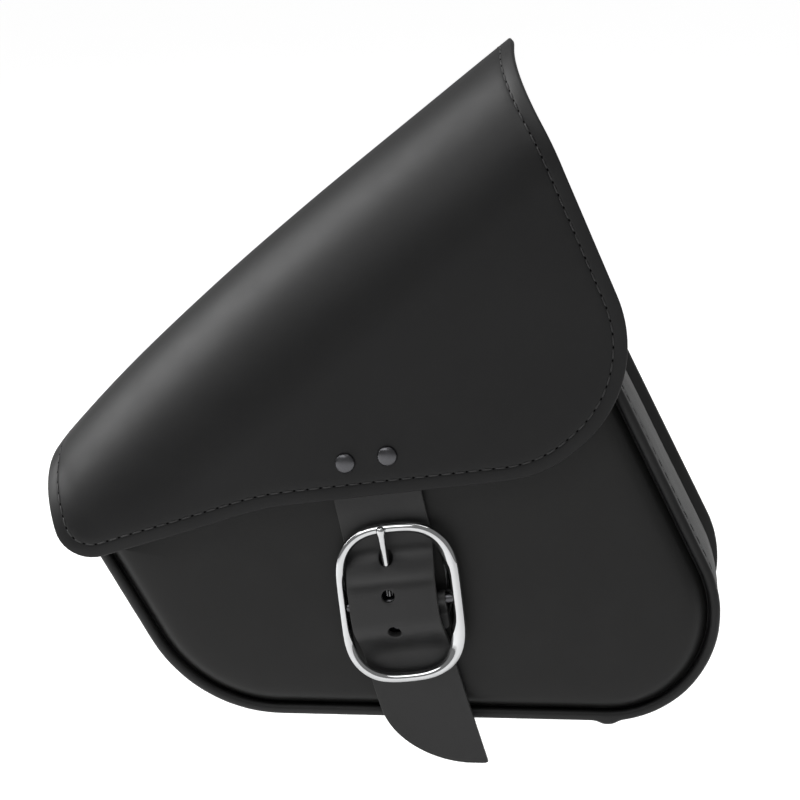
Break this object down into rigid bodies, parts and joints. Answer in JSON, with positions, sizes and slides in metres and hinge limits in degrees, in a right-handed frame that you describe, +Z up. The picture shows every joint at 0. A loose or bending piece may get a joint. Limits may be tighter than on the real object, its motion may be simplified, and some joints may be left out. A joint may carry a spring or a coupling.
{
  "type": "motorcycle saddlebag",
  "caption": "Black leather swingarm saddlebag with a sloping roll-over flap, piped front panel, strap and chrome centre-bar buckle over a hidden snap.",
  "frame": {"origin": "a point on the back panel's outer face, which lies against the motorcycle", "axes": "+Y out of the back face towards the motorcycle, +Z up, +X towards the side with the upright gusset; the flap's front faces -Y"},
  "size_m": [0.3269, 0.134, 0.342],
  "materials": {
    "flap_leather": "smooth black leather, satin",
    "panel_leather": "smooth black leather, satin",
    "gusset_leather": "smooth black leather, satin",
    "back_leather": "matt black leather",
    "piping_leather": "satin black leather",
    "strap_leather": "smooth black leather, satin face and matt back",
    "flap_lining": "matt black woven backing",
    "stiffener_plastic": "matt black sheet",
    "thread": "waxed black thread",
    "chrome": "mirror polished chrome",
    "gunmetal": "dark nickel, satin",
    "nickel": "nickel plated steel"
  },
  "bodies": {
    "bag": {"back_panel": "back_leather", "back_stiffener": "stiffener_plastic", "gusset": "gusset_leather", "front_panel": "panel_leather", "front_piping": "piping_leather", "mount_eyelet_1": "nickel", "mount_eyelet_2": "nickel", "mount_eyelet_3": "nickel", "mount_eyelet_4": "nickel", "snap_stud": "nickel", "snap_post": "nickel"},
    "flap": {"flap": "flap_leather", "flap_lining": "flap_lining", "flap_rivet_left": "gunmetal", "flap_rivet_right": "gunmetal", "rivet_burr_left": "nickel", "rivet_burr_right": "nickel", "strap_root": "strap_leather"},
    "strap": {"strap": "strap_leather", "chape": "strap_leather", "snap_cap": "gunmetal", "snap_socket": "nickel"},
    "buckle": {"buckle_frame": "chrome"},
    "prong": {"buckle_prong": "chrome"}
  },
  "joints": [
    {"name": "flap_hinge", "type": "hinge", "parent": "bag", "child": "flap", "pos_m": [-0.04089, -0.0015, 0.02947], "axis": [-0.7396, 0, -0.673], "range_deg": [0, 105]},
    {"name": "strap_swing", "type": "hinge", "parent": "flap", "child": "strap", "pos_m": [-0.00025, -0.1207, -0.03666], "axis": [-0.9925, 0, -0.1219], "range_deg": [0, 60]},
    {"name": "buckle_rock", "type": "hinge", "parent": "strap", "child": "buckle", "pos_m": [0.0057, -0.1261, -0.0851], "axis": [0.9925, 0, 0.1219], "range_deg": [-1.2, 1.2]},
    {"name": "prong_lift", "type": "hinge", "parent": "buckle", "child": "prong", "pos_m": [0.0057, -0.1261, -0.0851], "axis": [0.9925, 0, 0.1219], "range_deg": [0, 2]}
  ]
}
